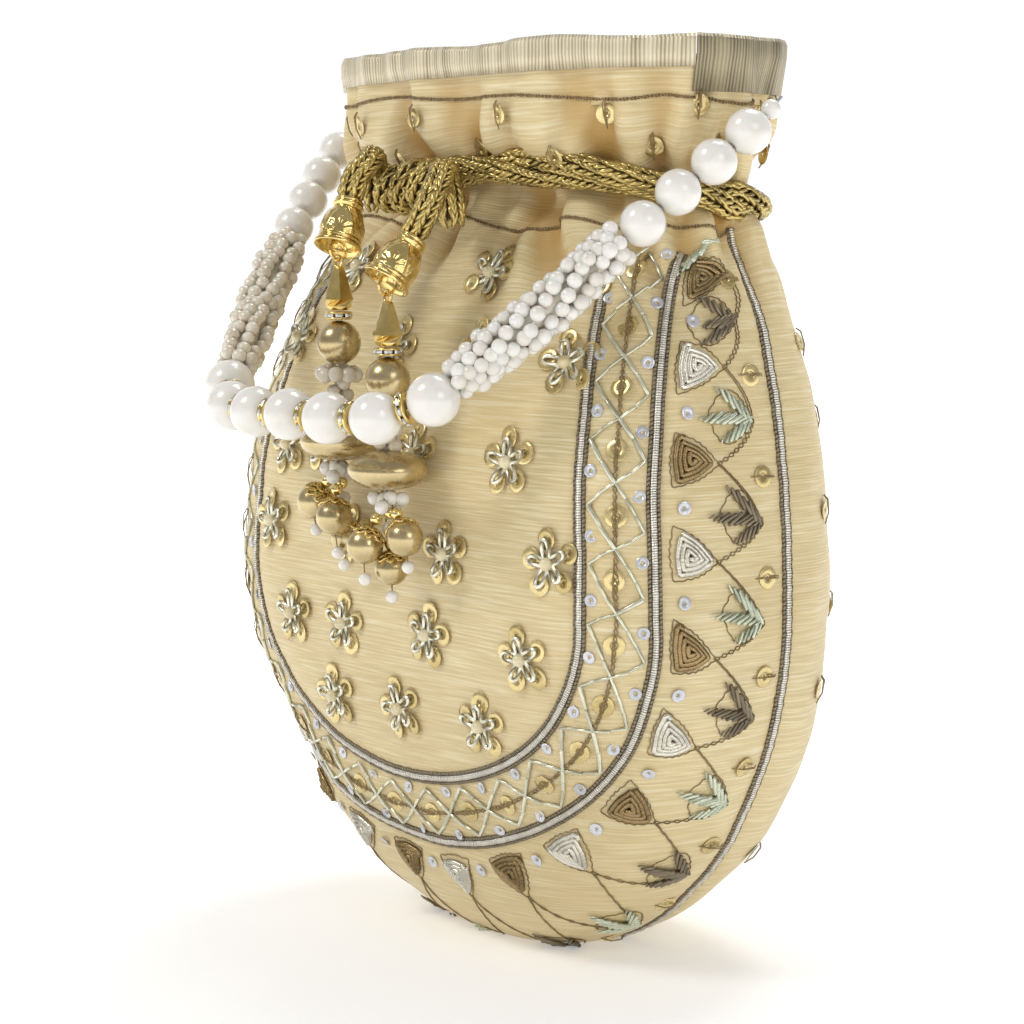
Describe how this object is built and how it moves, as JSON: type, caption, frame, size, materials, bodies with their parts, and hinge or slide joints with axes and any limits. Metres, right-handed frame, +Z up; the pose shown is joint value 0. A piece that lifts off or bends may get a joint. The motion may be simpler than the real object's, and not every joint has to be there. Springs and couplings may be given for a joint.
{
  "type": "potli bag",
  "caption": "Round-bottomed drawstring pouch in embroidered silk with a beaded loop handle, an open gathered neck and beaded tassels on its cord.",
  "frame": {"origin": "middle of the small flat at the round bottom that the bag stands on", "axes": "+Z up out of the mouth, -Y out of the embroidered front, +X towards the bag's left side seam as worn, on the right when looking at the front"},
  "size_m": [0.1926, 0.1457, 0.252],
  "materials": {
    "silk": "slubbed dupion silk",
    "lining_cloth": "plain woven lining",
    "ribbon": "ribbed metallic ribbon",
    "tissue": "metallic tissue",
    "piping": "twisted cord beside a ribbed metal braid",
    "metallic_cord": "knitted metallic cord",
    "gold": "polished, embossed",
    "pearl": "pearlescent",
    "crystal": "faceted stones in gold",
    "antique_gold": "brushed metallised",
    "wire": "nylon-coated steel wire"
  },
  "bodies": {
    "bag": {"front_panel": "silk", "back_panel": "silk", "lining": "lining_cloth", "mouth_band_front": "ribbon", "mouth_band_back": "tissue", "inner_piping": "piping", "middle_piping": "piping", "outer_piping": "piping", "drawcord": "metallic_cord", "cord_knot": "metallic_cord", "cord_tail_left": "metallic_cord", "cord_tail_right": "metallic_cord", "bell_cap_left": "gold", "bell_cap_right": "gold"},
    "handle": {"handle_core": "wire", "handle_end_bead_right": "pearl", "handle_end_bead_left": "pearl", "side_pearl_right_1": "pearl", "side_pearl_right_2": "pearl", "side_pearl_right_3": "pearl", "side_pearl_right_4": "pearl", "side_pearl_left_1": "pearl", "side_pearl_left_2": "pearl", "side_pearl_left_3": "pearl", "side_pearl_left_4": "pearl", "front_pearl_1": "pearl", "front_pearl_2": "pearl", "front_pearl_3": "pearl", "front_pearl_4": "pearl", "front_pearl_5": "pearl", "front_pearl_6": "pearl", "front_pearl_7": "pearl", "rondelle_1": "crystal", "rondelle_2": "crystal", "rondelle_3": "crystal", "rondelle_4": "crystal", "rondelle_5": "crystal", "rondelle_6": "crystal", "seed_strands_right": "pearl", "seed_strands_left": "pearl"},
    "link_left": {"link_left": "gold"},
    "tassel_left": {"cone_left": "gold", "tassel_rondelle_left": "crystal", "tassel_ball_left": "antique_gold", "pearl_collar_left": "pearl", "lentil_bead_left": "antique_gold", "drop_pearl_left_1": "antique_gold", "drop_pearl_left_2": "antique_gold", "drop_pearl_left_3": "antique_gold"},
    "link_right": {"link_right": "gold"},
    "tassel_right": {"cone_right": "gold", "tassel_rondelle_right": "crystal", "tassel_ball_right": "antique_gold", "pearl_collar_right": "pearl", "lentil_bead_right": "antique_gold", "drop_pearl_right_1": "antique_gold", "drop_pearl_right_2": "antique_gold", "drop_pearl_right_3": "antique_gold"}
  },
  "joints": [
    {"name": "handle_swing", "type": "hinge", "parent": "bag", "child": "handle", "pos_m": [0, -0.001, 0.236], "axis": [-1, 0, 0], "range_deg": [0, 250]},
    {"name": "link_left_swing", "type": "hinge", "parent": "bag", "child": "link_left", "pos_m": [-0.01413, -0.06614, 0.19781], "axis": [-1, 0, 0], "range_deg": [0, 3]},
    {"name": "tassel_left_swing", "type": "hinge", "parent": "link_left", "child": "tassel_left", "pos_m": [-0.01413, -0.06614, 0.19371], "axis": [0, 1, 0], "range_deg": [-2, 8]},
    {"name": "link_right_swing", "type": "hinge", "parent": "bag", "child": "link_right", "pos_m": [0.01259, -0.06947, 0.18872], "axis": [-1, 0, 0], "range_deg": [-1, 3]},
    {"name": "tassel_right_swing", "type": "hinge", "parent": "link_right", "child": "tassel_right", "pos_m": [0.01259, -0.06947, 0.18462], "axis": [0, -1, 0], "range_deg": [-2, 20]}
  ]
}
